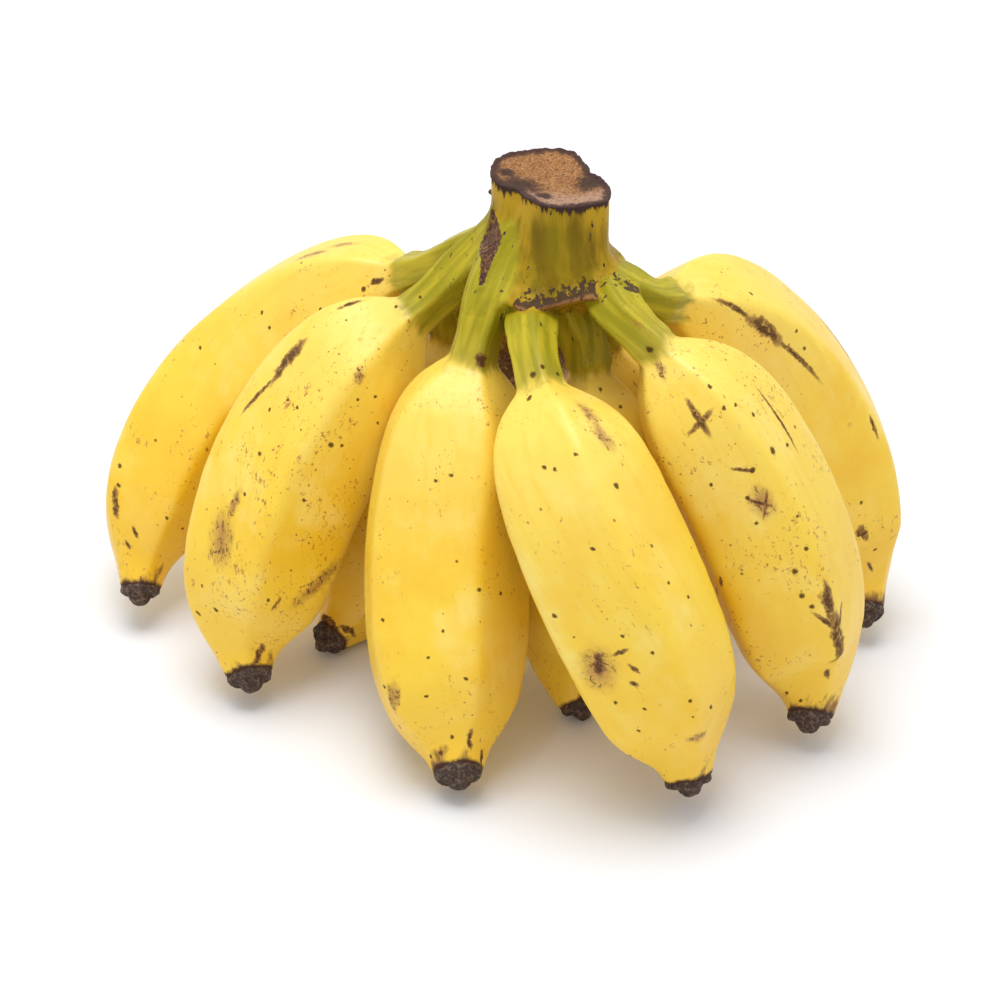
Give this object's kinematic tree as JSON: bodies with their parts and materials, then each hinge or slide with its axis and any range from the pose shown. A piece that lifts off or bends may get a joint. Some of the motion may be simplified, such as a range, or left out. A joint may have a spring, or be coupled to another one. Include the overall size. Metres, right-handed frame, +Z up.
{
  "type": "hand of short bananas",
  "caption": "Hand of short, plump ripe bananas joined at a cut crown, standing on its fruit tips with the stalks bent over and the crown on top.",
  "frame": {"origin": "centre of the footprint's bounding box, on the surface the hand stands on", "axes": "+Z up through the crown, +X along the hand's width, -Y towards the hand's front, where the fruits fan out"},
  "size_m": [0.1914, 0.1644, 0.1217],
  "materials": {
    "crown": "fibrous yellow-green crown with brown corky scars and a tan cut face",
    "peel": "smooth satin ripe yellow peel with fine brown specks, green towards the stalk",
    "flower_end": "dry dark brown crumbly flower remnant"
  },
  "bodies": {
    "root": {"crown": "crown", "finger_01": "peel", "finger_02": "peel", "finger_03": "peel", "finger_04": "peel", "finger_05": "peel", "finger_06": "peel", "finger_07": "peel", "finger_08": "peel", "finger_09": "peel", "finger_10": "peel", "flower_end_01": "flower_end", "flower_end_02": "flower_end", "flower_end_03": "flower_end", "flower_end_04": "flower_end", "flower_end_05": "flower_end", "flower_end_06": "flower_end", "flower_end_07": "flower_end", "flower_end_08": "flower_end", "flower_end_09": "flower_end", "flower_end_10": "flower_end"}
  },
  "joints": []
}
